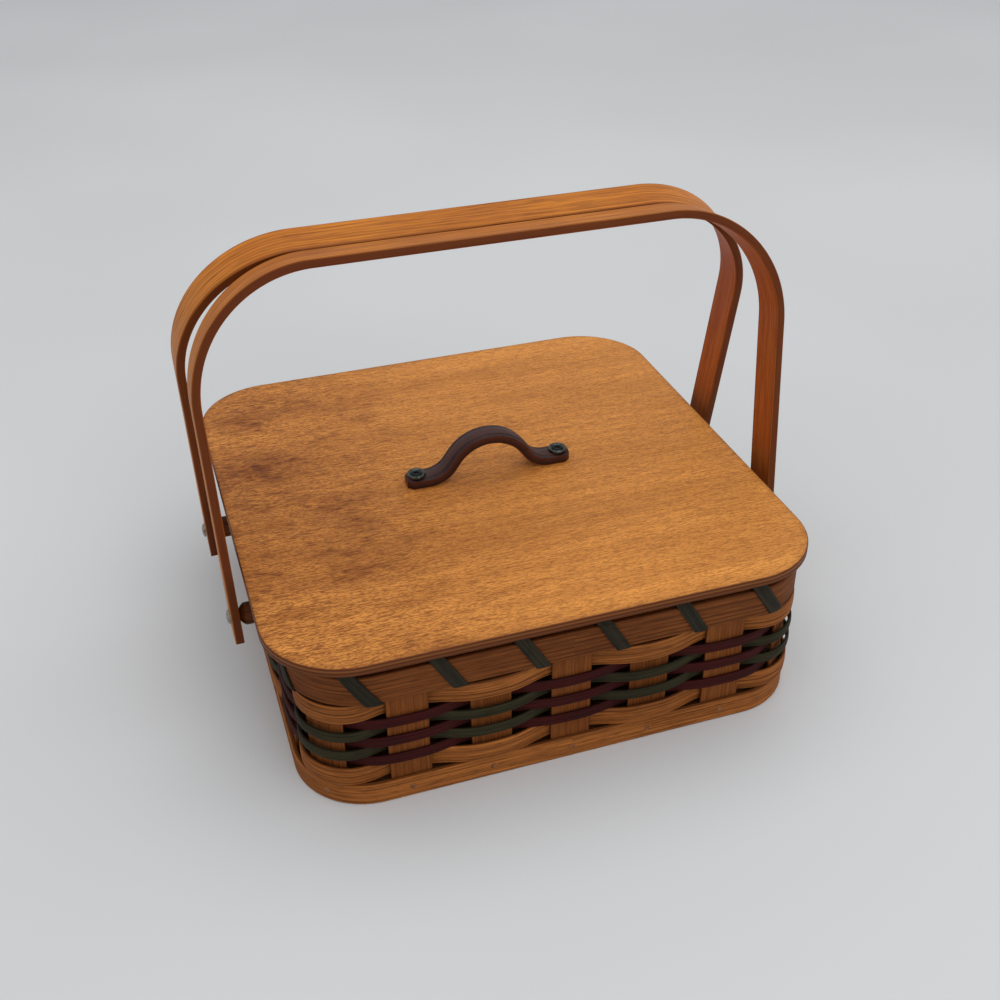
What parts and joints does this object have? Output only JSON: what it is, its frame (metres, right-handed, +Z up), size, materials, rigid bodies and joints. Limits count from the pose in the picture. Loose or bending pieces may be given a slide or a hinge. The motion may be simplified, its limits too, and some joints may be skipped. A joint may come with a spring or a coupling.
{
  "type": "woven basket",
  "caption": "Low square woven splint basket with a loose wooden lid, a leather pull and two bentwood swing handles.",
  "frame": {"origin": "middle of the basket's underside, on the surface it stands on", "axes": "+Z up, +X along the handles' crests, -Y is the front that the picture shows"},
  "size_m": [0.3399, 0.305, 0.2577],
  "materials": {
    "lid_wood": "honey-stained birch plywood under a thin satin varnish",
    "base_wood": "stained plywood, satin",
    "handle_wood": "steam-bent hardwood strip, orange-brown stain, satin varnish",
    "stake_splint": "split reed stake, light tan stain, matt",
    "splint_natural": "flat reed strip, golden-brown stain, fibrous, matt",
    "splint_maroon": "flat reed strip dyed maroon, matt",
    "splint_green": "flat reed strip dyed olive green, matt",
    "lashing_green": "flat reed lashing dyed grey green, matt",
    "spacer_wood": "turned bead, very dark brown stain",
    "pull_leather": "dark brown rolled leather, soft sheen",
    "nickel": "nickel-plated, slightly dulled",
    "dark_metal": "blackened steel",
    "nail_metal": "small brass-plated nails, dulled"
  },
  "bodies": {
    "basket": {"base_board": "base_wood", "base_band": "splint_natural", "band_nails": "nail_metal", "stake_01": "stake_splint", "stake_02": "stake_splint", "stake_03": "stake_splint", "stake_04": "stake_splint", "stake_05": "stake_splint", "stake_06": "stake_splint", "stake_07": "stake_splint", "stake_08": "stake_splint", "stake_09": "stake_splint", "stake_10": "stake_splint", "stake_11": "stake_splint", "stake_12": "stake_splint", "stake_13": "stake_splint", "stake_14": "stake_splint", "stake_15": "stake_splint", "stake_16": "stake_splint", "stake_17": "stake_splint", "stake_18": "stake_splint", "stake_19": "stake_splint", "stake_20": "stake_splint", "stake_21": "stake_splint", "stake_22": "stake_splint", "stake_23": "stake_splint", "stake_24": "stake_splint", "weaver_bottom_wide": "splint_natural", "weaver_maroon_lower": "splint_maroon", "weaver_green_lower": "splint_green", "weaver_maroon_middle": "splint_maroon", "weaver_green_upper": "splint_green", "weaver_maroon_upper": "splint_maroon", "weaver_top_wide": "splint_natural", "rim_outer": "splint_natural", "rim_inner": "splint_natural", "rim_filler": "splint_natural", "rim_lashing": "lashing_green", "spacer_front_left": "spacer_wood", "spacer_front_right": "spacer_wood", "spacer_rear_left": "spacer_wood", "spacer_rear_right": "spacer_wood", "pivot_bolts": "nickel", "pivot_washers": "nickel", "pivot_nuts": "nickel"},
    "lid": {"lid_board": "lid_wood", "lid_locating_board": "base_wood", "leather_pull": "pull_leather", "pull_cup_washers": "dark_metal", "pull_screws": "dark_metal"},
    "front_handle": {"handle_front": "handle_wood"},
    "rear_handle": {"handle_rear": "handle_wood"}
  },
  "joints": [
    {"name": "lid_lift", "type": "slide", "parent": "basket", "child": "lid", "axis": [0, 0, 1], "range_m": [0, 0.11]},
    {"name": "front_handle_swing", "type": "hinge", "parent": "basket", "child": "front_handle", "pos_m": [0, -0.04491, 0.06436], "axis": [1, 0, 0], "range_deg": [0, 114]},
    {"name": "rear_handle_swing", "type": "hinge", "parent": "basket", "child": "rear_handle", "pos_m": [0, 0.04491, 0.06436], "axis": [-1, 0, 0], "range_deg": [0, 114]}
  ]
}
